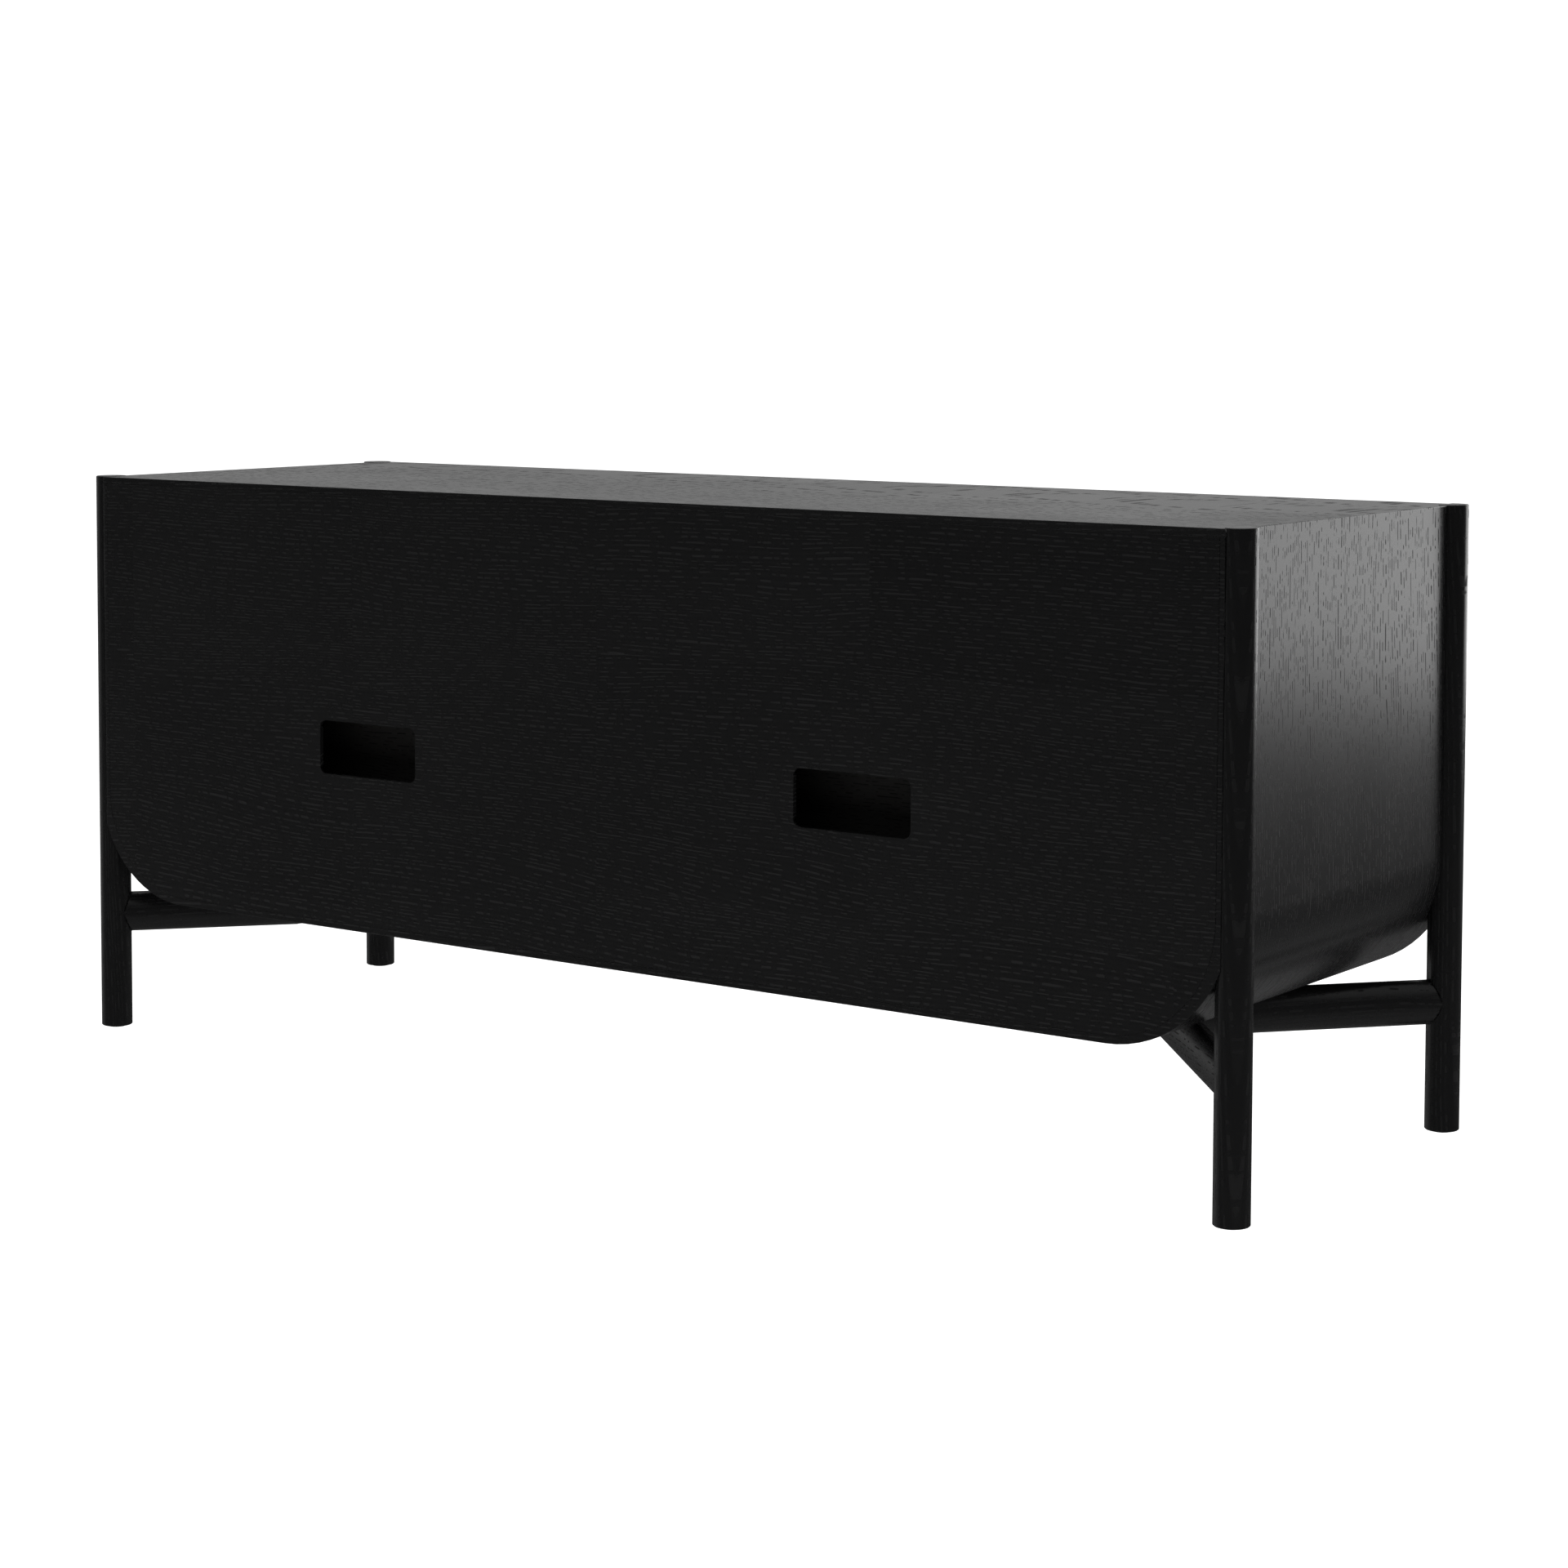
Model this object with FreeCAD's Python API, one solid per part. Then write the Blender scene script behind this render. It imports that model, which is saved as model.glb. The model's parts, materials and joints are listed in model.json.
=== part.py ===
import FreeCAD, Part

import math
import os

# Low drawer cabinet: a bent U-shaped case with a mitred top, four full-height round legs let into
# its corners, a screwed-on back with two cable ports, and four drawers on full-extension runners.
# Millimetres. +Z is up, the drawers open towards -Y, and the origin is on the floor at the centre.

# Overall size, measured over the legs
WIDTH = 1400.0
DEPTH = 455.0
HEIGHT = 600.0

# Legs
LEG_RADIUS = 16.5
LEG_PROUD_SIDE = 13.5
LEG_PROUD_FACE = 0.1
LEG_PROUD_TOP = 0.6
LEG_FLAT_DEPTH = 10.0
LEG_FIT = 0.1
LEG_CHAMFER = 0.8
GLIDE_RADIUS = 11.0
GLIDE_HEIGHT = 1.5
GLIDE_CHAMFER = 0.5
GLIDE_PIN_RADIUS = 1.5
GLIDE_PIN_TOP = 14.0

# Case
CASE_CLEARANCE = 146.5
WALL = 21.0
CORNER_RADIUS = 120.0
PARTITION = 20.0
PARTITION_SETBACK = 2.0
SPLINE_WIDTH = 16.0
SPLINE_THICKNESS = 4.0
SPLINE_SETBACK = 6.0

# Back panel and its cable ports
BACK_THICKNESS = 5.0
BACK_LIP_SIDE = 13.0
BACK_LIP_EDGE = 7.2
BACK_CORNER_RADIUS = 110.0
BACK_SEAM = 0.25
PORT_SIZE = (130.0, 55.0)
PORT_CORNER = 8.0
PORT_X = 298.0
PORT_Z = 333.0

# Drawers
FRONT_THICKNESS = 20.0
FRONT_GAP = 2.5
BETWEEN_FRONTS = 3.0
UPPER_FRONT_HEIGHT = 150.0
PULL_SIZE = (130.0, 30.0)
PULL_CORNER = 8.0
PULL_DROP = 40.0
BOX_SIDE = 12.0
BOX_LENGTH = 380.0
BOX_BELOW_FRONT_TOP = 10.0
UPPER_BOX_HEIGHT = 130.0
LOWER_BOX_HEIGHT = 188.0
BOX_BOTTOM = 6.0
BOX_GROOVE = 5.0
BOX_BOTTOM_RAISE = 10.0

# Ball-bearing runners, three steel members in a 12.7 mm space beside each drawer box.
# A member is its height, then how far its near and far edges stand from the case.
RUNNER_SPACE = 12.7
RUNNER_LENGTH = 350.0
RUNNER_SETBACK = 7.0
RUNNER_STEEL = 1.2
OUTER_MEMBER = (45.0, 0.0, 9.5)
MIDDLE_MEMBER = (37.0, 2.4, 11.0)
INNER_MEMBER = (24.0, 5.0, RUNNER_SPACE)
UPPER_RUNNER_DROP = 75.0
LOWER_RUNNER_DROP = 122.0

# Underframe stretchers
STRETCHER_HEIGHT = 43.0
STRETCHER_WIDTH = 29.0
STRETCHER_APEX_X = 500.0

# Fasteners
BACK_SCREW_HEAD = 2.4
BACK_SCREW_SHANK = 1.25
BACK_SCREW_LENGTH = 16.0
BACK_SCREW_TOP_X = (0.0, 194.0, 379.0, 659.0)
BACK_SCREW_BOTTOM_X = (0.0, 191.0, 376.0, 514.0)
BACK_SCREW_SIDE_Z = (379.0, 504.0)
LEG_BOLT_HEAD = 6.0
LEG_BOLT_SHANK = 3.0
LEG_BOLT_REACH = 28.0
LEG_BOLT_Z = (300.0, 430.0, 555.0)
DOWEL_RADIUS = 4.0
PARTITION_DOWEL_Y = (-150.0, 10.0, 170.0)
PARTITION_DOWEL_IN_CASE = 12.0
PARTITION_DOWEL_IN_BOARD = 18.0
LEG_DOWEL_RADIUS = 5.0
LEG_DOWEL_SPAN = (4.0, 44.0)
APEX_DOWEL_BEYOND = 6.0
APEX_DOWEL_REACH = 16.0
FLOOR_SCREW_ALONG = (200.0, 245.0)
FLOOR_SCREW_HEAD = 4.5
FLOOR_SCREW_HEAD_HEIGHT = 3.0
FLOOR_SCREW_SHANK = 2.5
FLOOR_SCREW_WELL = 8.0
FLOOR_SCREW_COVER = 5.0
WELL_FIT = 0.5
FRONT_DOWEL_RADIUS = 3.0
FRONT_DOWEL_IN_FRONT = 12.0
FRONT_DOWEL_IN_BOX = 18.0
FRONT_DOWEL_FROM_LOW = 30.0
FRONT_DOWEL_FROM_TOP = 25.0
RUNNER_SCREW_HEAD = 3.2
RUNNER_SCREW_HEAD_HEIGHT = 0.8
RUNNER_SCREW_SHANK = 1.75
RUNNER_SCREW_REACH = 9.0
RUNNER_SCREW_ALONG = (30.0, 175.0, 320.0)

# Derived places
LEG_X = WIDTH / 2 - LEG_RADIUS
LEG_Y = DEPTH / 2 - LEG_RADIUS
CASE_X = WIDTH / 2 - LEG_PROUD_SIDE
CASE_Y = DEPTH / 2 - LEG_PROUD_FACE
CASE_TOP = HEIGHT - LEG_PROUD_TOP
LEG_FLAT_X = LEG_X - LEG_RADIUS + LEG_FLAT_DEPTH
INNER_X = CASE_X - WALL
INNER_LOW = CASE_CLEARANCE + WALL
INNER_TOP = CASE_TOP - WALL
INNER_RADIUS = CORNER_RADIUS - WALL
BACK_INNER_Y = CASE_Y - BACK_THICKNESS
FRONT_BACK_Y = FRONT_THICKNESS - CASE_Y
STRETCHER_Z = CASE_CLEARANCE - STRETCHER_HEIGHT / 2
UPPER_TOP = INNER_TOP - FRONT_GAP
LOWER_TOP = UPPER_TOP - UPPER_FRONT_HEIGHT - BETWEEN_FRONTS
LOWER_BOTTOM = INNER_LOW + FRONT_GAP
SIDES = (("left", -1), ("right", 1))
CORNERS = [
    (f"{depth}_{side}", sx, sy) for depth, sy in (("front", -1), ("back", 1)) for side, sx in SIDES
]

parts = {}


def vec(x, y, z):
    return FreeCAD.Vector(x, y, z)


def block(x0, x1, y0, y1, z0, z1):
    low = vec(min(x0, x1), min(y0, y1), min(z0, z1))
    return Part.makeBox(abs(x1 - x0), abs(y1 - y0), abs(z1 - z0), low)


def rod(radius, start, end):
    axis = end - start
    return Part.makeCylinder(radius, axis.Length, start, axis)


def taper(radius_start, radius_end, start, end):
    axis = end - start
    return Part.makeCone(radius_start, radius_end, axis.Length, start, axis)


def extrude_along_y(edges, y0, y1):
    face = Part.Face(Part.Wire(edges))
    face.translate(vec(0, y0, 0))
    return face.extrude(vec(0, y1 - y0, 0))


def polygon_prism(points, y0, y1):
    corners = [vec(x, 0, z) for x, z in points]
    edges = [
        Part.LineSegment(a, b).toShape() for a, b in zip(corners, corners[1:] + corners[:1])
    ]
    return extrude_along_y(edges, y0, y1)


def round_bottomed_prism(half_width, low, high, radius, y0, y1):
    """A prism along Y whose outline is square at the top and rounded at its two lower corners."""
    flat = half_width - radius
    bend = radius * math.sqrt(0.5)
    top_left, top_right = vec(-half_width, 0, high), vec(half_width, 0, high)
    left, right = vec(-half_width, 0, low + radius), vec(half_width, 0, low + radius)
    low_left, low_right = vec(-flat, 0, low), vec(flat, 0, low)
    mid_left = vec(-flat - bend, 0, low + radius - bend)
    mid_right = vec(flat + bend, 0, low + radius - bend)
    edges = [
        Part.LineSegment(top_left, left).toShape(),
        Part.Arc(left, mid_left, low_left).toShape(),
        Part.LineSegment(low_left, low_right).toShape(),
        Part.Arc(low_right, mid_right, right).toShape(),
        Part.LineSegment(right, top_right).toShape(),
        Part.LineSegment(top_right, top_left).toShape(),
    ]
    return extrude_along_y(edges, y0, y1)


def slot_cutter(size, corner, x, z, y0, y1):
    """A rounded rectangle, extruded along Y, that cuts a hand or cable opening."""
    width, height = size
    blank = block(x - width / 2, x + width / 2, y0, y1, z - height / 2, z + height / 2)
    along_y = [
        e for e in blank.Edges if abs(e.tangentAt(e.FirstParameter).y) > 0.99
    ]
    return blank.makeFillet(corner, along_y)


def cut_all(shape, tools):
    for tool in tools:
        shape = shape.cut(tool)
    return shape


def case_outline(y0, y1):
    return round_bottomed_prism(CASE_X, CASE_CLEARANCE, CASE_TOP, CORNER_RADIUS, y0, y1)


# Tools that cut the case where the legs, the back and the fasteners go


def leg_notches():
    """The seat of each leg: round, but flat on its inner side and open past the leg's centre."""
    notches = []
    for _, sx, sy in CORNERS:
        foot = vec(sx * LEG_X, sy * LEG_Y, 0)
        seat = block(sx * LEG_FLAT_X, sx * WIDTH, sy * DEPTH, 0, -1, HEIGHT + 1)
        bore = rod(LEG_RADIUS + LEG_FIT, foot, foot + vec(0, 0, HEIGHT + 1))
        corner = block(sx * LEG_X, sx * WIDTH, sy * LEG_Y, sy * DEPTH, -1, HEIGHT + 1)
        notches.append(bore.common(seat).fuse(corner))
    return notches


def back_outline(gap, y0, y1):
    return round_bottomed_prism(
        CASE_X - BACK_LIP_SIDE + gap,
        CASE_CLEARANCE + BACK_LIP_EDGE - gap,
        CASE_TOP - BACK_LIP_EDGE + gap,
        BACK_CORNER_RADIUS + gap,
        y0,
        y1,
    )


def back_screw_places():
    middle = WALL / 2
    side_x = (INNER_X + LEG_FLAT_X) / 2
    places = []
    for x in BACK_SCREW_TOP_X:
        places += [(s * x, CASE_TOP - middle) for s in ((-1, 1) if x else (1,))]
    for x in BACK_SCREW_BOTTOM_X:
        places += [(s * x, CASE_CLEARANCE + middle) for s in ((-1, 1) if x else (1,))]
    for z in BACK_SCREW_SIDE_Z:
        places += [(s * side_x, z) for s in (-1, 1)]
    return places


def countersunk(head, shank, start, direction, length):
    """A countersunk screw: start is the middle of its flat head, direction points to its tip."""
    sink = head - shank
    neck = start + direction * sink
    return taper(head, shank, start, neck).fuse(rod(shank, neck, start + direction * length))


def back_screws():
    return [
        countersunk(
            BACK_SCREW_HEAD, BACK_SCREW_SHANK, vec(x, CASE_Y, z), vec(0, -1, 0), BACK_SCREW_LENGTH
        )
        for x, z in back_screw_places()
    ]


def leg_bolts():
    return [
        countersunk(
            LEG_BOLT_HEAD,
            LEG_BOLT_SHANK,
            vec(sx * INNER_X, sy * LEG_Y, z),
            vec(sx, 0, 0),
            LEG_BOLT_REACH,
        )
        for _, sx, sy in CORNERS
        for z in LEG_BOLT_Z
    ]


def mitre_splines():
    """Plywood tongues that lock each mitre between the top and a side."""
    splines = []
    x, z = CASE_X - WALL / 2, CASE_TOP - WALL / 2
    across, through = (math.sqrt(0.5) / 2 * size for size in (SPLINE_WIDTH, SPLINE_THICKNESS))
    reach = LEG_Y - LEG_RADIUS - SPLINE_SETBACK
    for _, sx in SIDES:
        points = [
            (sx * (x + a * across + b * through), z - a * across + b * through)
            for a, b in ((-1, -1), (1, -1), (1, 1), (-1, 1))
        ]
        splines.append(polygon_prism(points, -reach, reach))
    return splines


def partition_dowels():
    """Dowels that locate the partition in the case's bottom and in its top."""
    dowels = []
    for y in PARTITION_DOWEL_Y:
        for level, up in ((INNER_LOW, 1), (INNER_TOP, -1)):
            start = vec(0, y, level - up * PARTITION_DOWEL_IN_CASE)
            end = vec(0, y, level + up * PARTITION_DOWEL_IN_BOARD)
            dowels.append(rod(DOWEL_RADIUS, start, end))
    return dowels


# Underframe


def stretcher_direction(sx, sy):
    run = vec(sx * (STRETCHER_APEX_X - LEG_X), -sy * LEG_Y, 0)
    return run.normalize()


def stretcher_point(sx, sy, along, z=STRETCHER_Z):
    start = vec(sx * LEG_X, sy * LEG_Y, z)
    return start + stretcher_direction(sx, sy) * along


def stretcher_dowels():
    """One dowel into each leg, and one across each joint where two stretchers meet."""
    start, end = LEG_DOWEL_SPAN
    dowels = [
        rod(LEG_DOWEL_RADIUS, stretcher_point(sx, sy, start), stretcher_point(sx, sy, end))
        for _, sx, sy in CORNERS
    ]
    for _, sx in SIDES:
        middle = vec(sx * (STRETCHER_APEX_X + APEX_DOWEL_BEYOND), 0, STRETCHER_Z)
        reach = vec(0, APEX_DOWEL_REACH, 0)
        dowels.append(rod(DOWEL_RADIUS, middle - reach, middle + reach))
    return dowels


def floor_screws():
    """Screws up through the stretchers into the case's bottom, and the wells for their heads."""
    low = STRETCHER_Z - STRETCHER_HEIGHT / 2 + FLOOR_SCREW_WELL
    tip = INNER_LOW - FLOOR_SCREW_COVER
    screws, wells = [], []
    for _, sx, sy in CORNERS:
        for along in FLOOR_SCREW_ALONG:
            base = stretcher_point(sx, sy, along, low)
            neck = base + vec(0, 0, FLOOR_SCREW_HEAD_HEIGHT)
            shank = rod(FLOOR_SCREW_SHANK, neck, vec(base.x, base.y, tip))
            screws.append(rod(FLOOR_SCREW_HEAD, base, neck).fuse(shank))
            mouth = base - vec(0, 0, 2 * FLOOR_SCREW_WELL)
            wells.append(rod(FLOOR_SCREW_HEAD + WELL_FIT, mouth, base))
    return screws, wells


def make_stretcher(sx, sy, cutters):
    direction = stretcher_direction(sx, sy)
    start = stretcher_point(sx, sy, 0)
    edge = Part.Ellipse(start, STRETCHER_HEIGHT / 2, STRETCHER_WIDTH / 2).toShape()
    # the ellipse lies flat with its long axis on X: stand that axis up, then turn it to face the run
    edge.rotate(start, vec(0, 1, 0), 90)
    edge.rotate(start, vec(0, 0, 1), math.degrees(math.atan2(direction.y, direction.x)))
    bar = Part.Face(Part.Wire([edge])).extrude(direction * DEPTH)
    own_quarter = block(0, sx * WIDTH, 0, sy * DEPTH, 0, CASE_CLEARANCE + 1)
    foot = vec(sx * LEG_X, sy * LEG_Y, 0)
    leg = rod(LEG_RADIUS, foot, foot + vec(0, 0, HEIGHT))
    return cut_all(bar.common(own_quarter).cut(leg), cutters)


def make_glide(sx, sy):
    foot = vec(sx * LEG_X, sy * LEG_Y, 0)
    seat = foot + vec(0, 0, GLIDE_HEIGHT)
    pad = rod(GLIDE_RADIUS, foot, seat)
    rim = [e for e in pad.Edges if isinstance(e.Curve, Part.Circle) and e.Vertexes[0].Z < seat.z / 2]
    pin = rod(GLIDE_PIN_RADIUS, seat, foot + vec(0, 0, GLIDE_PIN_TOP))
    return pad.makeChamfer(GLIDE_CHAMFER, rim).fuse(pin)


def make_leg(sx, sy, cutters):
    """A turned leg, cut flat on its inner side where the case houses it."""
    seat = vec(sx * LEG_X, sy * LEG_Y, GLIDE_HEIGHT)
    leg = rod(LEG_RADIUS, seat, vec(seat.x, seat.y, HEIGHT))
    rims = [e for e in leg.Edges if isinstance(e.Curve, Part.Circle)]
    leg = leg.makeChamfer(LEG_CHAMFER, rims)
    inward = block(-LEG_FLAT_X, LEG_FLAT_X, -DEPTH, DEPTH, 0, HEIGHT + 1)
    housed = case_outline(-DEPTH, DEPTH).common(inward)
    above_case = block(-LEG_FLAT_X, LEG_FLAT_X, -DEPTH, DEPTH, CASE_TOP - 1, HEIGHT + 1)
    return cut_all(leg, [housed, above_case, make_glide(sx, sy)] + cutters)


def add_underframe(bolts, screws, wells):
    dowels = stretcher_dowels()
    for name, sx, sy in CORNERS:
        parts[f"stretcher_{name}"] = make_stretcher(sx, sy, dowels + screws + wells)
        parts[f"leg_{name}"] = make_leg(sx, sy, dowels + bolts)
    parts["stretcher_dowels"] = Part.makeCompound(dowels)
    parts["stretcher_screws"] = Part.makeCompound(screws)
    parts["leg_bolts"] = Part.makeCompound(bolts)
    parts["leg_glides"] = Part.makeCompound([make_glide(sx, sy) for _, sx, sy in CORNERS])


# Case


def add_case(fasteners):
    """The mitred top, the U-shaped shell, the partition and the back, with what joins them."""
    screws = back_screws()
    splines = mitre_splines()
    dowels = partition_dowels()
    rebate = back_outline(BACK_SEAM, BACK_INNER_Y, CASE_Y + 1)
    cutters = leg_notches() + [rebate] + screws + splines + dowels
    mitred = [
        (-CASE_X, CASE_TOP),
        (CASE_X, CASE_TOP),
        (INNER_X, INNER_TOP),
        (-INNER_X, INNER_TOP),
    ]
    top = polygon_prism(mitred, -CASE_Y, CASE_Y)
    hollow = round_bottomed_prism(
        INNER_X, INNER_LOW, HEIGHT, INNER_RADIUS, -CASE_Y - 1, CASE_Y + 1
    )
    shell = case_outline(-CASE_Y, CASE_Y).cut(hollow).cut(top)
    half, front_edge = PARTITION / 2, FRONT_BACK_Y + PARTITION_SETBACK
    partition = block(-half, half, front_edge, BACK_INNER_Y, INNER_LOW, INNER_TOP)
    ports = [
        slot_cutter(PORT_SIZE, PORT_CORNER, sx * PORT_X, PORT_Z, BACK_INNER_Y - 1, CASE_Y + 1)
        for _, sx in SIDES
    ]
    parts["top_panel"] = cut_all(top, cutters)
    parts["case_shell"] = cut_all(shell, cutters + fasteners)
    parts["centre_partition"] = cut_all(partition, dowels + fasteners)
    parts["back_panel"] = cut_all(back_outline(0.0, BACK_INNER_Y, CASE_Y), ports + screws)
    parts["back_panel_screws"] = Part.makeCompound(screws)
    parts["mitre_splines"] = Part.makeCompound(splines)
    parts["partition_dowels"] = Part.makeCompound(dowels)


# Drawers


def channel(member, wall_x, facing, z, screws, web_far=False):
    """A steel channel along Y. wall_x is the case's surface, and facing points to the drawer."""
    height, near, far = member
    y0 = FRONT_BACK_Y + RUNNER_SETBACK

    def plate(depth0, depth1, z0, z1):
        x0, x1 = wall_x + facing * depth0, wall_x + facing * depth1
        return block(x0, x1, y0, y0 + RUNNER_LENGTH, z0, z1)

    low, high = z - height / 2, z + height / 2
    web = (far - RUNNER_STEEL, far) if web_far else (near, near + RUNNER_STEEL)
    shape = plate(*web, low, high)
    for z0 in (low, high - RUNNER_STEEL):
        shape = shape.fuse(plate(near, far, z0, z0 + RUNNER_STEEL))
    return cut_all(shape.removeSplitter(), screws)


def runner_screws(web_x, facing, z):
    """Screws through a runner's web at web_x into the wood, which lies in the facing direction."""
    screws = []
    for along in RUNNER_SCREW_ALONG:
        seat = vec(web_x, FRONT_BACK_Y + RUNNER_SETBACK + along, z)
        head = rod(RUNNER_SCREW_HEAD, seat - vec(facing * RUNNER_SCREW_HEAD_HEIGHT, 0, 0), seat)
        shank_end = seat + vec(facing * (RUNNER_STEEL + RUNNER_SCREW_REACH), 0, 0)
        screws.append(head.fuse(rod(RUNNER_SCREW_SHANK, seat, shank_end)))
    return screws


def add_runners(name, sx, z):
    """Both runners of a drawer. Returns the screws into the case and those into the drawer box."""
    outer, middle, inner, case_screws, box_screws = [], [], [], [], []
    for wall_x, facing in ((sx * PARTITION / 2, sx), (sx * INNER_X, -sx)):
        into_case = runner_screws(wall_x + facing * RUNNER_STEEL, -facing, z)
        into_box = runner_screws(wall_x + facing * (RUNNER_SPACE - RUNNER_STEEL), facing, z)
        outer.append(channel(OUTER_MEMBER, wall_x, facing, z, into_case))
        middle.append(channel(MIDDLE_MEMBER, wall_x, facing, z, []))
        inner.append(channel(INNER_MEMBER, wall_x, facing, z, into_box, web_far=True))
        case_screws += into_case
        box_screws += into_box
    parts[f"{name}_case_runners"] = Part.makeCompound(outer)
    parts[f"{name}_middle_runners"] = Part.makeCompound(middle)
    parts[f"{name}_drawer_runners"] = Part.makeCompound(inner)
    parts[f"{name}_runner_screws"] = Part.makeCompound(box_screws)
    return case_screws, box_screws


def add_front(name, sx, bottom, top, cutters):
    """A drawer front: its share of the case's opening, less the gaps and the cut-out pull."""
    half_width = INNER_X - FRONT_GAP
    opening = round_bottomed_prism(
        half_width, LOWER_BOTTOM, UPPER_TOP, INNER_RADIUS - FRONT_GAP, -CASE_Y, FRONT_BACK_Y
    )
    meeting = BETWEEN_FRONTS / 2
    own_share = block(sx * meeting, sx * WIDTH, -DEPTH, 0, bottom, top)
    pull_x = sx * (meeting + half_width) / 2
    pull = slot_cutter(
        PULL_SIZE, PULL_CORNER, pull_x, top - PULL_DROP, -CASE_Y - 1, FRONT_BACK_Y + 1
    )
    parts[f"{name}_front"] = cut_all(opening.common(own_share), [pull] + cutters)


def add_drawer(level, side, sx, bottom, top, box_height, runner_drop):
    """One drawer with its runners. Returns the screws that fix the runners to the case."""
    name = f"{level}_{side}"
    near, far = PARTITION / 2 + RUNNER_SPACE, INNER_X - RUNNER_SPACE
    x0, x1 = min(sx * near, sx * far), max(sx * near, sx * far)
    back_y = FRONT_BACK_Y + BOX_LENGTH
    box_top = top - BOX_BELOW_FRONT_TOP
    box_low = box_top - box_height
    panel_low = box_low + BOX_BOTTOM_RAISE
    panel = block(
        x0 + BOX_SIDE - BOX_GROOVE,
        x1 - BOX_SIDE + BOX_GROOVE,
        FRONT_BACK_Y - BOX_GROOVE,
        back_y - BOX_SIDE + BOX_GROOVE,
        panel_low,
        panel_low + BOX_BOTTOM,
    )
    start_y = FRONT_BACK_Y - FRONT_DOWEL_IN_FRONT
    end_y = FRONT_BACK_Y + FRONT_DOWEL_IN_BOX
    dowels = [
        rod(FRONT_DOWEL_RADIUS, vec(x, start_y, z), vec(x, end_y, z))
        for x in (x0 + BOX_SIDE / 2, x1 - BOX_SIDE / 2)
        for z in (box_low + FRONT_DOWEL_FROM_LOW, box_top - FRONT_DOWEL_FROM_TOP)
    ]
    case_screws, box_screws = add_runners(name, sx, top - runner_drop)
    left = block(x0, x0 + BOX_SIDE, FRONT_BACK_Y, back_y, box_low, box_top)
    right = block(x1 - BOX_SIDE, x1, FRONT_BACK_Y, back_y, box_low, box_top)
    back = block(x0 + BOX_SIDE, x1 - BOX_SIDE, back_y - BOX_SIDE, back_y, box_low, box_top)
    add_front(name, sx, bottom, top, [panel] + dowels)
    parts[f"{name}_box_left"] = cut_all(left, [panel] + dowels + box_screws)
    parts[f"{name}_box_right"] = cut_all(right, [panel] + dowels + box_screws)
    parts[f"{name}_box_back"] = back.cut(panel)
    parts[f"{name}_box_bottom"] = panel
    parts[f"{name}_front_dowels"] = Part.makeCompound(dowels)
    return case_screws


def build():
    upper = (UPPER_TOP - UPPER_FRONT_HEIGHT, UPPER_TOP, UPPER_BOX_HEIGHT, UPPER_RUNNER_DROP)
    lower = (LOWER_BOTTOM, LOWER_TOP, LOWER_BOX_HEIGHT, LOWER_RUNNER_DROP)
    into_case = []
    for side, sx in SIDES:
        into_case += add_drawer("upper", side, sx, *upper)
        into_case += add_drawer("lower", side, sx, *lower)
    parts["case_runner_screws"] = Part.makeCompound(into_case)
    bolts = leg_bolts()
    screws, wells = floor_screws()
    add_underframe(bolts, screws, wells)
    add_case(bolts + screws + into_case)


build()
os.makedirs("parts", exist_ok=True)
for node, shape in parts.items():
    assert shape.isValid(), node
    shape.exportStep(f"parts/{node}.step")
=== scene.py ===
import json
import math

import bmesh
import bpy
from mathutils import Euler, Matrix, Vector


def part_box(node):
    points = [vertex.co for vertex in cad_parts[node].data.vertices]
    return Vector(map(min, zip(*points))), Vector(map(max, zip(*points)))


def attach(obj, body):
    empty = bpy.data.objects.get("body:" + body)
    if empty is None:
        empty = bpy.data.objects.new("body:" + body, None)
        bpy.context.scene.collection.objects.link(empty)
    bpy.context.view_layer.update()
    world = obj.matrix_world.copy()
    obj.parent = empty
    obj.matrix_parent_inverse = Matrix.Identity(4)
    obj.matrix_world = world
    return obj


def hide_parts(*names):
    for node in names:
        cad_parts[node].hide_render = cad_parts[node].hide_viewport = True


# The looks of the drawer cabinet: black-stained oak, zinc-plated runners, and the studio around it.
# Metres, in the frame's axes: +Z up, the drawers open towards -Y, the back with its ports faces +Y.

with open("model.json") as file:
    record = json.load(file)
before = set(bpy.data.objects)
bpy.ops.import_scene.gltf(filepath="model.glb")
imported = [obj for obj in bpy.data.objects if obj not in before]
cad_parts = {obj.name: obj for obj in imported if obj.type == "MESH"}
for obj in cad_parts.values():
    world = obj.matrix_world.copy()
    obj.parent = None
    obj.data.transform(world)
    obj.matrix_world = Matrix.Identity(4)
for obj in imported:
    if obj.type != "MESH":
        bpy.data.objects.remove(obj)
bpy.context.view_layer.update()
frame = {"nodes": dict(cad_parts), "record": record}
nodes = frame["nodes"]
slot_of = {row["node"]: row["material_slot"] for row in frame["record"]["subparts"]}
body_of = {
    node: body for body, members in frame["record"]["behaviour"]["bodies"].items() for node in members
}
DRAWERS = [f"{level}_{side}" for level in ("upper", "lower") for side in ("left", "right")]
LEGS = [n for n in nodes if n.startswith("leg_front") or n.startswith("leg_back")]
STRETCHERS = [n for n in nodes if n.startswith("stretcher_front") or n.startswith("stretcher_back")]

# Places of the case, read from the frame, and its outer corner radius
SHELL_LOW, SHELL_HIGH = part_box("case_shell")
HALF_WIDTH = SHELL_HIGH.x
UNDERSIDE = SHELL_LOW.z
CORNER_RADIUS = 0.120
BEND_X = HALF_WIDTH - CORNER_RADIUS
BEND_Z = UNDERSIDE + CORNER_RADIUS

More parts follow.
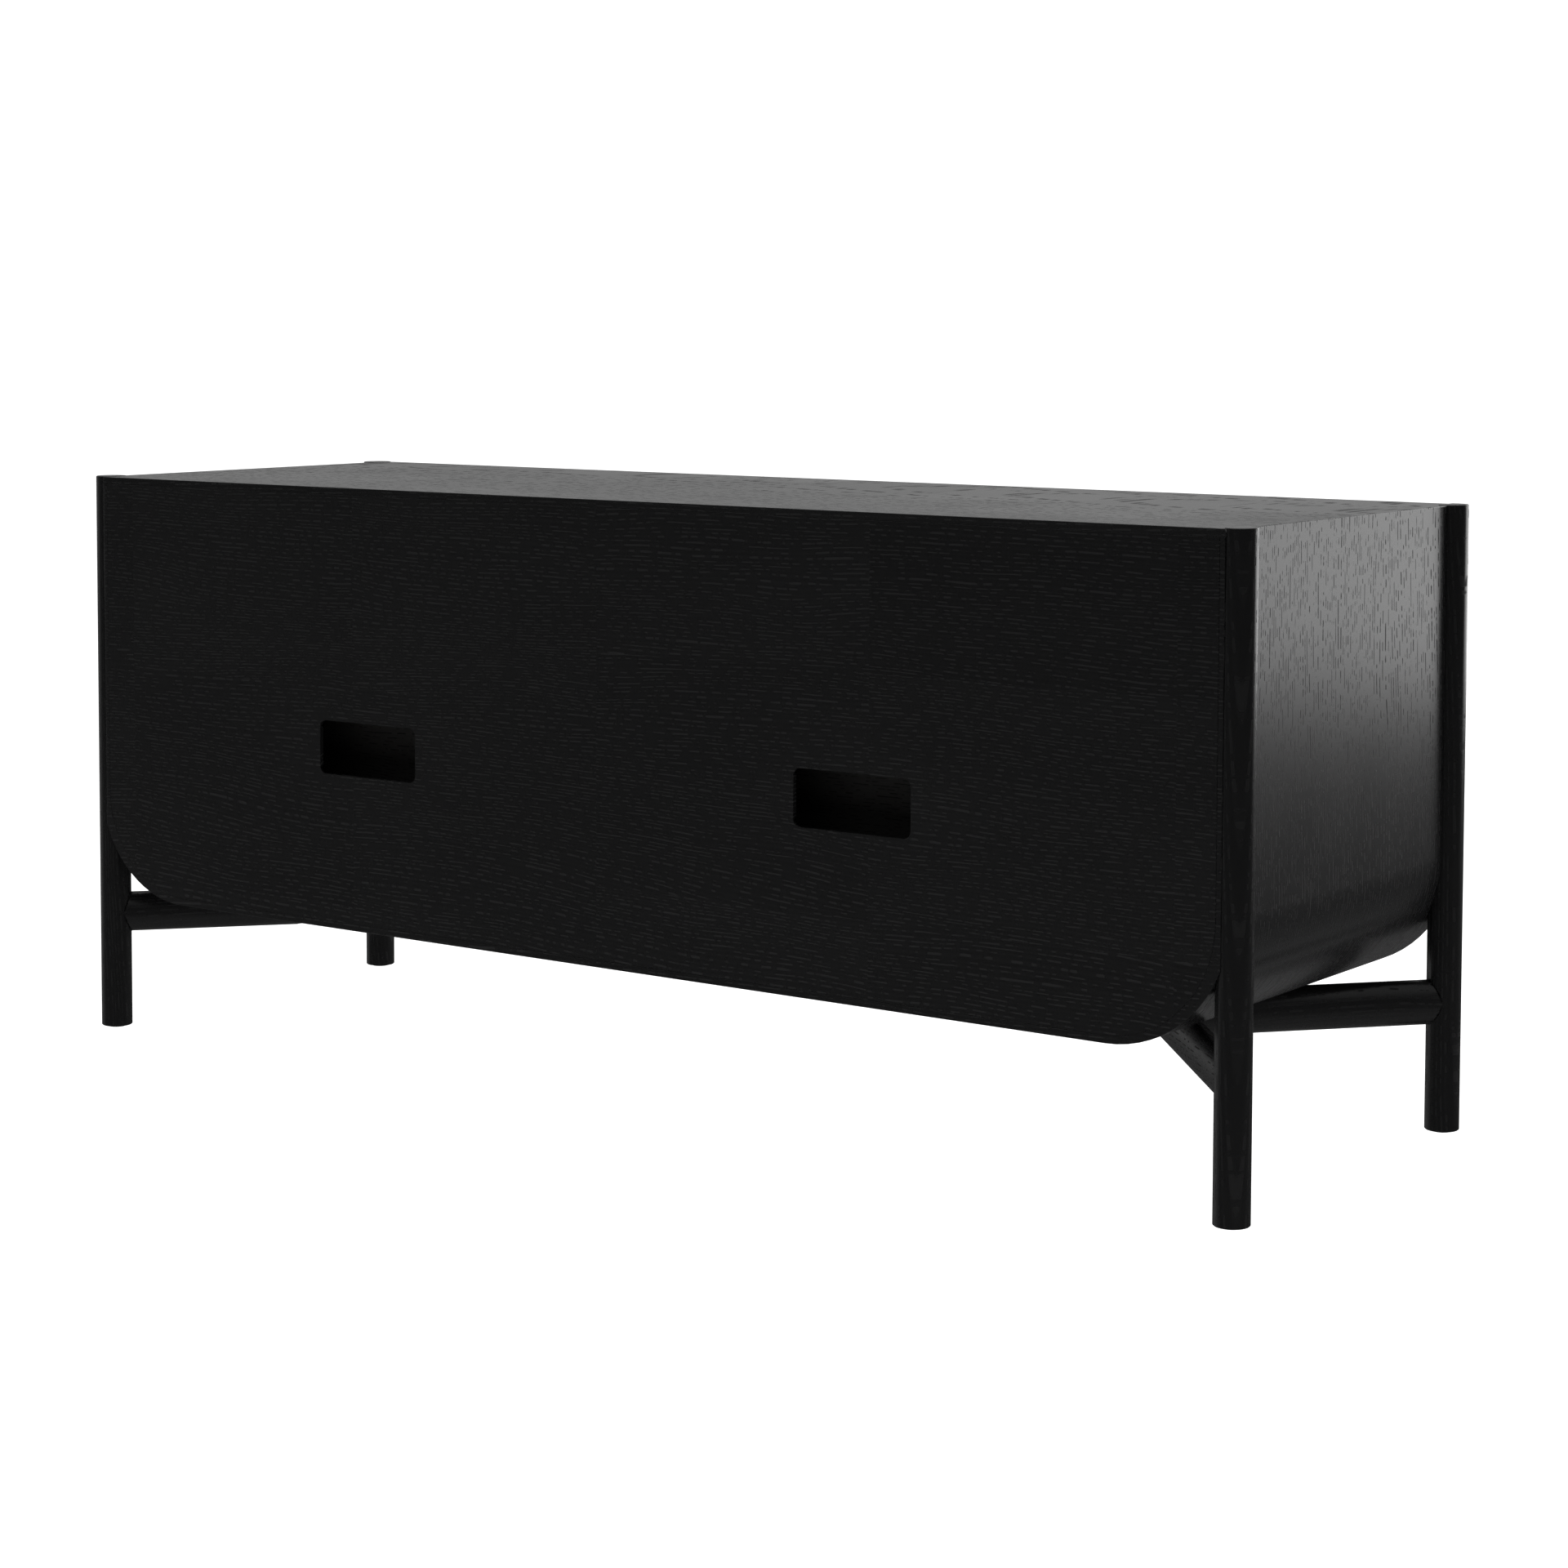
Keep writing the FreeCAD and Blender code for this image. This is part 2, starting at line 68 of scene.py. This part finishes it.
# Edges that are broken by hand with fine paper
EDGE_RADIUS = 0.0006
FRONT_EDGE_RADIUS = 0.0012
SHORTEST_ROUNDED_EDGE = 0.003
SHARP = math.radians(30)
FLAT = math.radians(0.5)
WELD = 1e-6
NO_LENGTH = 2e-6


# Node graphs


class Graph:
    """Short names for the shader nodes that the materials use."""

    def __init__(self, tree):
        self.tree = tree

    def add(self, kind, inputs=None, **settings):
        node = self.tree.nodes.new("ShaderNode" + kind)
        for key, value in settings.items():
            setattr(node, key, value)
        for key, value in (inputs or {}).items():
            self.feed(node.inputs[key], value)
        return node

    def feed(self, socket, value):
        if isinstance(value, bpy.types.NodeSocket):
            self.tree.links.new(value, socket)
        else:
            socket.default_value = value

    def math(self, operation, a, b=0.0, c=0.0):
        node = self.add("Math", {0: a, 1: b, 2: c}, operation=operation)
        return node.outputs[0]

    def step(self, value, start, end):
        """0 at start and 1 at end, smooth between."""
        inputs = {"Value": value, "From Min": start, "From Max": end}
        return self.add("MapRange", inputs, interpolation_type="SMOOTHSTEP").outputs["Result"]

    def between(self, value, low, high):
        """Carries a value from 0 to 1 over to the range from low to high."""
        node = self.add("MapRange", {"Value": value, "To Min": low, "To Max": high})
        return node.outputs["Result"]

    def vector(self, x, y, z):
        return self.add("CombineXYZ", {0: x, 1: y, 2: z}).outputs[0]

    def scaled(self, x, y, z, factors):
        return self.vector(*(self.math("MULTIPLY", value, by) for value, by in zip((x, y, z), factors)))

    def dot(self, vector, axis):
        node = self.add("VectorMath", {0: vector, 1: axis}, operation="DOT_PRODUCT")
        return node.outputs["Value"]

    def noise(self, vector, scale=1.0, detail=2.0, roughness=0.5):
        inputs = {"Vector": vector, "Scale": scale, "Detail": detail, "Roughness": roughness}
        return self.add("TexNoise", inputs).outputs["Fac"]

    def colour(self, factor, dark, light):
        node = self.add("MixRGB", {"Fac": factor, "Color1": (*dark, 1), "Color2": (*light, 1)})
        return node.outputs["Color"]

    def bump(self, height, distance, strength):
        inputs = {"Height": height, "Distance": distance, "Strength": strength}
        return self.add("Bump", inputs).outputs["Normal"]

    def place(self):
        """The point on the object, in metres, which stays with the object as it moves."""
        return self.add("TexCoord").outputs["Object"]


def new_material(name):
    material = bpy.data.materials.new(name)
    material.use_nodes = True
    material.node_tree.nodes.clear()
    graph = Graph(material.node_tree)
    shader = graph.add("BsdfPrincipled")
    output = graph.add("OutputMaterial")
    graph.feed(output.inputs["Surface"], shader.outputs[0])
    return material, graph, shader


def new_group(name, inputs, outputs):
    tree = bpy.data.node_groups.new(name, "ShaderNodeTree")
    for label in inputs:
        tree.interface.new_socket(label, in_out="INPUT", socket_type="NodeSocketFloat")
    for label in outputs:
        tree.interface.new_socket(label, in_out="OUTPUT", socket_type="NodeSocketFloat")
    graph = Graph(tree)
    start = tree.nodes.new("NodeGroupInput")
    end = tree.nodes.new("NodeGroupOutput")
    return tree, graph, start.outputs, end.inputs


# Oak

RING_WIDTH = 0.0037
VESSEL_LENGTH = 0.009
LEAF_STRIDE = 3.1
PITH_DEPTH = 0.055
LEAF_SHIFT = 0.08
TRUNK_TAPER = 0.035
WANDER = 0.055
RIPPLE = 0.0045


def make_oak_group():
    """Ring-porous oak. Along, Across and Depth are metres; Leaf is a number that differs per veneer leaf.
    Pith is how far beside the board the tree's centre lay: near 0 is flat-sawn, far off is quartered."""
    tree, g, given, result = new_group(
        "oak_figure", ["Along", "Across", "Depth", "Leaf", "Pith"], ["Tone", "Pores", "Height"]
    )
    leaf = given["Leaf"]
    along = g.math("MULTIPLY_ADD", leaf, LEAF_STRIDE, given["Along"])
    across = given["Across"]
    depth = given["Depth"]

    # the board's slow wander, then the pith that its rings curve round
    wander = g.noise(g.vector(g.math("MULTIPLY", along, 1.6), g.math("MULTIPLY", across, 6.0), depth))
    ripple = g.noise(g.vector(g.math("MULTIPLY", along, 11.0), g.math("MULTIPLY", across, 40.0), depth))
    across = g.math("MULTIPLY_ADD", g.math("SUBTRACT", wander, 0.5), WANDER, across)
    across = g.math("MULTIPLY_ADD", g.math("SUBTRACT", ripple, 0.5), RIPPLE, across)
    turn = g.math("SINE", g.math("MULTIPLY", leaf, 37.0))
    shift = g.math("MULTIPLY_ADD", turn, LEAF_SHIFT, given["Pith"])
    beside = g.math("ADD", across, shift)
    below = g.math("ADD", g.math("MULTIPLY_ADD", along, TRUNK_TAPER, depth), PITH_DEPTH)
    squared = g.math("MULTIPLY_ADD", beside, beside, g.math("MULTIPLY", below, below))
    rings = g.math("DIVIDE", g.math("SQRT", squared), RING_WIDTH)
    uneven = g.noise(g.vector(rings, leaf, 0.0), scale=0.35, detail=1.0)
    rings = g.math("MULTIPLY_ADD", uneven, 1.4, rings)
    ring = g.math("FRACT", rings)
    early = g.math("SUBTRACT", 1.0, g.step(ring, 0.08, 0.62))

    # vessels: short grooves in the grain's direction, in a row along the early wood of each ring
    row = g.math("SUBTRACT", 1.0, g.step(g.math("ABSOLUTE", g.math("SUBTRACT", ring, 0.22)), 0.06, 0.20))
    in_row = g.math("MULTIPLY", g.math("FLOOR", rings), 7.3)
    place = g.vector(g.math("DIVIDE", along, VESSEL_LENGTH), in_row, leaf)
    groove = g.step(g.noise(place, detail=1.0), 0.47, 0.58)
    pores = g.math("MULTIPLY", row, groove)

    fibre = g.noise(g.scaled(along, across, depth, (60.0, 900.0, 900.0)))
    patch = g.noise(g.vector(g.math("MULTIPLY", along, 3.0), g.math("MULTIPLY", across, 14.0), leaf))
    tone = g.math("MULTIPLY_ADD", early, 0.30, g.math("MULTIPLY", fibre, 0.35))
    tone = g.math("MULTIPLY_ADD", patch, 0.35, tone)
    height = g.math("MULTIPLY_ADD", pores, -0.8, g.math("MULTIPLY", fibre, 0.05))
    height = g.math("MULTIPLY_ADD", early, -0.06, height)
    g.feed(result["Tone"], tone)
    g.feed(result["Pores"], pores)
    g.feed(result["Height"], height)
    return tree


def make_leaf_group():
    """Veneer leaves laid end to end: a number from 0 to 1 for the leaf under a point.
    Step is how far the leaves of one half are set off from those of the other."""
    tree, g, given, result = new_group(
        "veneer_leaves", ["Along", "Across", "Length", "Width", "Step"], ["Leaf"]
    )
    column = g.math("FLOOR", g.math("DIVIDE", given["Along"], given["Length"]))
    half = g.math("GREATER_THAN", given["Along"], 0.0)
    moved = g.math("MULTIPLY_ADD", half, given["Step"], given["Across"])
    row = g.math("FLOOR", g.math("DIVIDE", moved, given["Width"]))
    leaf = g.add("TexWhiteNoise", {"Vector": g.vector(column, row, 1.7)}, noise_dimensions="3D")
    g.feed(result["Leaf"], leaf.outputs["Value"])
    return tree


OAK = make_oak_group()
LEAVES = make_leaf_group()


def finish_oak(g, shader, along, across, depth, leaf, pith, stain):
    """Connects the oak figure to a shader. stain gives the dark, light and pore colours and the gloss; in
    the black stains the lighter pore colour is a painted highlight.
    """
    figure = g.add("Group", node_tree=OAK)
    given = {"Along": along, "Across": across, "Depth": depth, "Leaf": leaf, "Pith": pith}
    for label, value in given.items():
        g.feed(figure.inputs[label], value)
    tone, pores, height = (figure.outputs[n] for n in ("Tone", "Pores", "Height"))
    wood = g.colour(tone, stain["dark"], stain["light"])
    # pore colour mixed into the wood; in the black stains its lightness is a painted highlight for light
    # caught on the pore walls
    mixed = g.add("MixRGB", {"Fac": pores, "Color1": wood, "Color2": (*stain["pores"], 1)})
    g.feed(shader.inputs["Base Color"], mixed.outputs["Color"])
    smear = g.noise(g.place(), scale=9.0, detail=3.0)
    gloss = g.math("MULTIPLY_ADD", smear, stain["smear"], stain["roughness"])
    gloss = g.math("MULTIPLY_ADD", leaf, stain["smear"], gloss)
    g.feed(shader.inputs["Roughness"], g.math("MULTIPLY_ADD", pores, 0.25, gloss))
    sheen = g.math("MULTIPLY_ADD", leaf, stain["leaf_sheen"], 0.5 - stain["leaf_sheen"] / 2)
    g.feed(shader.inputs["Specular IOR Level"], g.math("MULTIPLY_ADD", pores, -stain["pore_matt"], sheen))
    g.feed(shader.inputs["Normal"], g.bump(height, stain["relief"], 0.9))
    shader.inputs["IOR"].default_value = 1.46


# In this stain and the black stains built from it below (front, shell, top, leg), the pores are lighter
# than the wood: a painted highlight standing in for light caught on the open pore walls
BLACK_STAIN = {
    "dark": (0.0062, 0.0062, 0.0064),
    "light": (0.0150, 0.0150, 0.0153),
    "pores": (0.0245, 0.0245, 0.0247),
    "roughness": 0.18,
    "smear": 0.05,
    "leaf_sheen": 0.10,
    "pore_matt": 0.40,
    "relief": 0.00011,
}
FRONT_STAIN = {**BLACK_STAIN, "relief": 0.00008}
SHELL_STAIN = {**BLACK_STAIN, "relief": 0.00002}
TOP_STAIN = {
    **BLACK_STAIN,
    "pores": (0.0190, 0.0190, 0.0192),
    "leaf_sheen": 0.14,
    "pore_matt": 0.12,
    "relief": 0.00001,
}
LEG_STAIN = {
    **BLACK_STAIN,
    "dark": (0.0055, 0.0055, 0.0057),
    "light": (0.0115, 0.0115, 0.0118),
    "pores": (0.0160, 0.0160, 0.0162),
    "relief": 0.00005,
}
BOX_STAIN = {
    "dark": (0.014, 0.0134, 0.0128),
    "light": (0.032, 0.0305, 0.029),
    "pores": (0.012, 0.0115, 0.011),
    "roughness": 0.50,
    "smear": 0.10,
    "leaf_sheen": 0.0,
    "pore_matt": 0.30,
    "relief": 0.00015,
}
BEECH_STAIN = {
    "dark": (0.48, 0.33, 0.20),
    "light": (0.62, 0.45, 0.29),
    "pores": (0.36, 0.23, 0.13),
    "roughness": 0.55,
    "smear": 0.06,
    "leaf_sheen": 0.0,
    "pore_matt": 0.30,
    "relief": 0.00010,
}


def straight_oak(name, along, across, stain, leaves=None, pith=0.0):
    """Oak whose grain runs in one direction. leaves is its veneer leaves' length, width and step."""
    material, g, shader = new_material(name)
    depth = Vector(along).cross(Vector(across))
    point = g.place()
    l, a, d = (g.dot(point, tuple(axis)) for axis in (along, across, depth))
    leaf = 0.37
    if leaves:
        group = g.add("Group", node_tree=LEAVES)
        for label, value in zip(("Along", "Across", "Length", "Width", "Step"), (l, a, *leaves)):
            g.feed(group.inputs[label], value)
        leaf = group.outputs["Leaf"]
    finish_oak(g, shader, l, a, d, leaf, pith, stain)
    return material


def bent_oak(name, stain):
    """Oak veneer that follows the case from its sides round the bends and along the bottom.
    The front and back edges are lipped with grain that runs across."""
    material, g, shader = new_material(name)
    point = g.add("SeparateXYZ", {0: g.place()})
    x, y, z = point.outputs
    outward = g.math("SUBTRACT", g.math("ABSOLUTE", x), BEND_X)
    downward = g.math("SUBTRACT", BEND_Z, z)
    right, low = g.math("MAXIMUM", outward, 0.0), g.math("MAXIMUM", downward, 0.0)
    turned = g.math("MULTIPLY", g.math("ARCTAN2", low, right), CORNER_RADIUS)
    side = g.math("MINIMUM", downward, 0.0)
    bottom = g.math("MAXIMUM", g.math("MULTIPLY", outward, -1.0), 0.0)
    around = g.math("ADD", g.math("ADD", turned, side), bottom)
    into = g.math("SQRT", g.math("MULTIPLY_ADD", right, right, g.math("MULTIPLY", low, low)))
    normal = g.add("SeparateXYZ", {0: g.add("TexCoord").outputs["Normal"]})
    lip = g.math("GREATER_THAN", g.math("ABSOLUTE", normal.outputs[1]), 0.8)

    def on_lip(edge_value, value):
        return g.add("Mix", {0: lip, 2: value, 3: edge_value}, data_type="FLOAT").outputs[0]

    along, across, depth = on_lip(x, around), on_lip(z, y), on_lip(y, into)
    leaf = g.math("MULTIPLY_ADD", g.math("GREATER_THAN", x, 0.0), 0.21, 0.55)
    finish_oak(g, shader, along, across, depth, leaf, 0.35, stain)
    return material


# Metal and plastic


def brushed_steel(name):
    material, g, shader = new_material(name)
    point = g.add("SeparateXYZ", {0: g.place()})
    x, y, z = point.outputs
    lines = g.noise(g.scaled(x, y, z, (2400.0, 40.0, 2400.0)), detail=3.0)
    spangle = g.noise(g.place(), scale=160.0, detail=1.0)
    tone = g.math("MULTIPLY_ADD", spangle, 0.5, g.math("MULTIPLY", lines, 0.5))
    g.feed(shader.inputs["Base Color"], g.colour(tone, (0.42, 0.43, 0.45), (0.66, 0.67, 0.69)))
    g.feed(shader.inputs["Roughness"], g.between(tone, 0.28, 0.46))
    g.feed(shader.inputs["Normal"], g.bump(lines, 0.00002, 0.5))
    shader.inputs["Metallic"].default_value = 1.0
    return material


def black_steel(name):
    material, g, shader = new_material(name)
    grain = g.noise(g.place(), scale=900.0, detail=2.0)
    worn = g.noise(g.place(), scale=220.0, detail=2.0)
    g.feed(shader.inputs["Base Color"], g.colour(worn, (0.006, 0.006, 0.006), (0.022, 0.022, 0.023)))
    g.feed(shader.inputs["Roughness"], g.between(worn, 0.30, 0.50))
    g.feed(shader.inputs["Normal"], g.bump(grain, 0.00003, 0.4))
    shader.inputs["Metallic"].default_value = 0.4
    return material


def moulded_nylon(name):
    material, g, shader = new_material(name)
    grain = g.noise(g.place(), scale=1300.0, detail=2.0)
    scuff = g.noise(g.place(), scale=110.0, detail=3.0)
    g.feed(shader.inputs["Base Color"], g.colour(scuff, (0.016, 0.016, 0.016), (0.040, 0.040, 0.040)))
    g.feed(shader.inputs["Roughness"], g.between(scuff, 0.45, 0.70))
    g.feed(shader.inputs["Normal"], g.bump(grain, 0.00004, 0.5))
    return material


X, Y, Z = (1, 0, 0), (0, 1, 0), (0, 0, 1)

# The legs' growth rings are stacked in this direction
DIAGONAL = (0.81, 0.58, 0)

# Length, width and step of the veneer leaves, in metres. A drawer front is one leaf long.
BACK_LEAVES = (0.317, 0.2265, 0.057)
TOP_LEAVES = (0.190, 0.1517, 0.0)
FRONT_LEAVES = (10.0, 0.2265, 0.0)

top_oak = straight_oak("oak_top", X, Y, TOP_STAIN, TOP_LEAVES, pith=0.16)
back_oak = straight_oak("oak_back", X, Z, BLACK_STAIN, BACK_LEAVES)
front_oak = straight_oak("oak_front", X, Z, FRONT_STAIN, FRONT_LEAVES)
upright_oak = straight_oak("oak_upright", Z, Y, BLACK_STAIN, pith=0.2)
leg_oak = straight_oak("oak_leg", Z, DIAGONAL, LEG_STAIN, pith=0.3)
shell_oak = bent_oak("oak_shell", SHELL_STAIN)
box_side_wood = straight_oak("box_side_wood", Y, Z, BOX_STAIN, pith=0.3)
box_cross_wood = straight_oak("box_cross_wood", X, Z, BOX_STAIN, pith=0.3)
box_bottom_wood = straight_oak("box_bottom_wood", X, Y, BOX_STAIN, pith=0.5)
dowel_wood = straight_oak("dowel_wood", Y, Z, BEECH_STAIN)
steel = brushed_steel("runner_zinc")
screw_steel = black_steel("screw_black")
nylon = moulded_nylon("glide_nylon")


# Pieces


def dress(piece, material):
    """Gives a piece one material all over."""
    piece.data.materials.clear()
    piece.data.materials.append(material)


def stand_in(mesh, node, material):
    """Puts a new mesh in the place of a CAD node, on the same body."""
    piece = bpy.data.objects.new(f"{node}_piece", mesh)
    bpy.context.scene.collection.objects.link(piece)
    dress(piece, material)
    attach(piece, body_of[node])
    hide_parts(node)
    return piece


def soften(node, material, radius=EDGE_RADIUS):
    """A copy of a CAD node whose longer edges are rounded over."""
    bm = bmesh.new()
    bm.from_mesh(nodes[node].data)
    bmesh.ops.remove_doubles(bm, verts=bm.verts, dist=WELD)
    bmesh.ops.dissolve_limit(bm, angle_limit=FLAT, verts=bm.verts, edges=bm.edges)
    edges = [
        e
        for e in bm.edges
        if e.is_manifold
        and e.calc_face_angle() > SHARP
        and e.calc_length() > SHORTEST_ROUNDED_EDGE
    ]
    bmesh.ops.bevel(
        bm, geom=edges, offset=radius, offset_type="WIDTH", segments=2, profile=0.5, affect="EDGES"
    )
    bmesh.ops.dissolve_degenerate(bm, dist=NO_LENGTH, edges=bm.edges)
    for face in bm.faces:
        face.smooth = True
    mesh = bpy.data.meshes.new(f"{node}_mesh")
    bm.to_mesh(mesh)
    bm.free()
    piece = stand_in(mesh, node, material)
    normals = piece.modifiers.new("normals", "WEIGHTED_NORMAL")
    normals.keep_sharp = False
    normals.weight = 50
    return piece


soften("top_panel", top_oak)
soften("case_shell", shell_oak)
soften("back_panel", back_oak)
soften("centre_partition", upright_oak)
for drawer in DRAWERS:
    soften(f"{drawer}_front", front_oak, FRONT_EDGE_RADIUS)
    soften(f"{drawer}_box_left", box_side_wood)
    soften(f"{drawer}_box_right", box_side_wood)
    soften(f"{drawer}_box_back", box_cross_wood)
    soften(f"{drawer}_box_bottom", box_bottom_wood)

for leg in LEGS:
    soften(leg, leg_oak)
for stretcher in STRETCHERS:
    low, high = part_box(stretcher)
    middle = (low + high) / 2
    turn = 1 if middle.x * middle.y > 0 else -1
    run = Vector((high.x - low.x, turn * (high.y - low.y), 0)).normalized()
    soften(stretcher, straight_oak(f"oak_{stretcher}", tuple(run), Z, LEG_STAIN, pith=0.3))
for node in nodes:
    if slot_of[node] == "runner_steel":
        dress(nodes[node], steel)
    elif slot_of[node] == "black_steel":
        dress(nodes[node], screw_steel)
    elif slot_of[node] == "beech":
        dress(nodes[node], dowel_wood)
    elif slot_of[node] == "glide_nylon":
        dress(nodes[node], nylon)


# Studio. An EDGE holds the cosines between which a part of the room fades in.

GLOW_NEAR, GLOW_FAR = 0.72, 0.98
GLOW_START, GLOW_END = 1.2, 6.5
BRIGHT_SIDE = (0.15, -1.0, 0.0)
BRIGHT_EDGE = (0.45, 0.95)
HORIZON = (-0.20, 0.02)
FILL_SIDE = (1.0, 0.0, 0.0)
FILL_EDGE = (0.74, 0.98)
GROUND_EDGE = (-0.25, -0.60)
CEILING_EDGE = (0.20, 0.70)
ROOM_LEVEL, BRIGHT_LEVEL, FILL_LEVEL = 0.051, 0.20, 0.20
GROUND_LEVEL, CEILING_LEVEL = 0.10, 0.30


def paper(name):
    """Studio paper. Its own faint glow grows with distance, so that the floor fades into the backdrop."""
    material, g, shader = new_material(name)
    mottle = g.noise(g.place(), scale=2.0, detail=4.0)
    g.feed(shader.inputs["Base Color"], g.colour(mottle, (0.78, 0.78, 0.78), (0.82, 0.82, 0.82)))
    shader.inputs["Roughness"].default_value = 0.9
    shader.inputs["Specular IOR Level"].default_value = 0.1
    shader.inputs["Emission Color"].default_value = (1, 1, 1, 1)
    distance = g.add("VectorMath", {0: g.place()}, operation="LENGTH").outputs["Value"]
    far = g.step(distance, GLOW_START, GLOW_END)
    g.feed(shader.inputs["Emission Strength"], g.between(far, GLOW_NEAR, GLOW_FAR))
    return material


def turned_surface(name, profile, material, steps=96):
    """A surface turned about Z from (radius, height) points."""
    bm = bmesh.new()
    rings = []
    for radius, height in profile:
        ring = []
        for i in range(steps):
            a = 2 * math.pi * i / steps
            ring.append(bm.verts.new((radius * math.cos(a), radius * math.sin(a), height)))
        rings.append(ring)
    for lower, upper in zip(rings, rings[1:]):
        for i in range(steps):
            j = (i + 1) % steps
            face = bm.faces.new((lower[i], lower[j], upper[j], upper[i]))
            face.smooth = True
    if profile[0][0] > 0.01:
        bm.faces.new(rings[0])
    mesh = bpy.data.meshes.new(name)
    bm.to_mesh(mesh)
    bm.free()
    piece = bpy.data.objects.new(name, mesh)
    bpy.context.scene.collection.objects.link(piece)
    dress(piece, material)
    return piece


def soft_light(name, place, aim, size, power):
    light = bpy.data.lights.new(name, "AREA")
    light.shape = "RECTANGLE"
    light.size, light.size_y = size
    light.energy = power
    lamp = bpy.data.objects.new(name, light)
    lamp.location = place
    lamp.rotation_euler = (Vector(aim) - Vector(place)).to_track_quat("-Z", "Y").to_euler()
    lamp.visible_camera = False
    bpy.context.scene.collection.objects.link(lamp)
    return lamp


FLOOR_RADIUS = 1.9
WALL_RADIUS = 9.0
WALL_HEIGHT = 7.0
SWEEP_RADIUS = 3.0
FLOOR_LEVEL = -0.0002
sheet = paper("paper")
inner_floor = turned_surface("floor", [(FLOOR_RADIUS, FLOOR_LEVEL)], sheet)
sweep = [(FLOOR_RADIUS, FLOOR_LEVEL)]
for i in range(13):
    a = math.pi / 2 * i / 12
    sweep.append(
        (
            WALL_RADIUS - SWEEP_RADIUS * (1 - math.sin(a)),
            FLOOR_LEVEL + SWEEP_RADIUS * (1 - math.cos(a)),
        )
    )
sweep.append((WALL_RADIUS, WALL_HEIGHT))
outer_floor = turned_surface("backdrop", sweep, sheet)
inner_floor.visible_glossy = False
outer_floor.visible_glossy = False
outer_floor.visible_diffuse = False
outer_floor.visible_shadow = False


def studio_world():
    """A dim room with one broad bright side down to the horizon, a weak fill opposite it, and a pale
    ground and ceiling, for the glossy faces to reflect."""
    world = bpy.data.worlds.new("studio")
    world.use_nodes = True
    g = Graph(world.node_tree)
    ray = g.add("TexCoord").outputs["Generated"]
    bright = g.step(g.dot(ray, tuple(Vector(BRIGHT_SIDE).normalized())), *BRIGHT_EDGE)
    bright = g.math("MULTIPLY", bright, g.step(g.dot(ray, Z), *HORIZON))
    fill = g.step(g.dot(ray, tuple(Vector(FILL_SIDE).normalized())), *FILL_EDGE)
    level = g.math("MULTIPLY_ADD", bright, BRIGHT_LEVEL, ROOM_LEVEL)
    level = g.math("MULTIPLY_ADD", fill, FILL_LEVEL, level)
    level = g.math("MULTIPLY_ADD", g.step(g.dot(ray, Z), *GROUND_EDGE), GROUND_LEVEL, level)
    level = g.math("MULTIPLY_ADD", g.step(g.dot(ray, Z), *CEILING_EDGE), CEILING_LEVEL, level)
    background = world.node_tree.nodes["Background"]
    background.inputs["Color"].default_value = (1, 1, 1, 1)
    g.feed(background.inputs["Strength"], level)
    return world


bpy.context.scene.world = studio_world()
soft_light("side_box", (-1.5, -3.05, 1.09), (-0.5, 0.2, 0.45), (3.4, 2.1), 52)
soft_light("far_box", (2.9, -3.9, 1.6), (0, 0, 0.5), (4.5, 2.6), 5)
soft_light("top_box", (0, 0, 3.6), (0, 0, 0), (3.4, 3.0), 36)

# Camera: the photograph's viewing angle, with a vertical shift as the photograph's framing has
camera_data = bpy.data.cameras.new("camera")
camera_data.sensor_width = 36.0
camera_data.lens = 77.65
camera_data.shift_y = -0.1615
camera = bpy.data.objects.new("camera", camera_data)
camera.location = (-2.0325, 2.7484, 0.7865)
camera.rotation_euler = Euler((math.radians(90 - 3.83), math.radians(-0.17), math.radians(180 + 35.70)))
bpy.context.scene.collection.objects.link(camera)
bpy.context.scene.camera = camera
bpy.context.scene.view_settings.view_transform = "Standard"
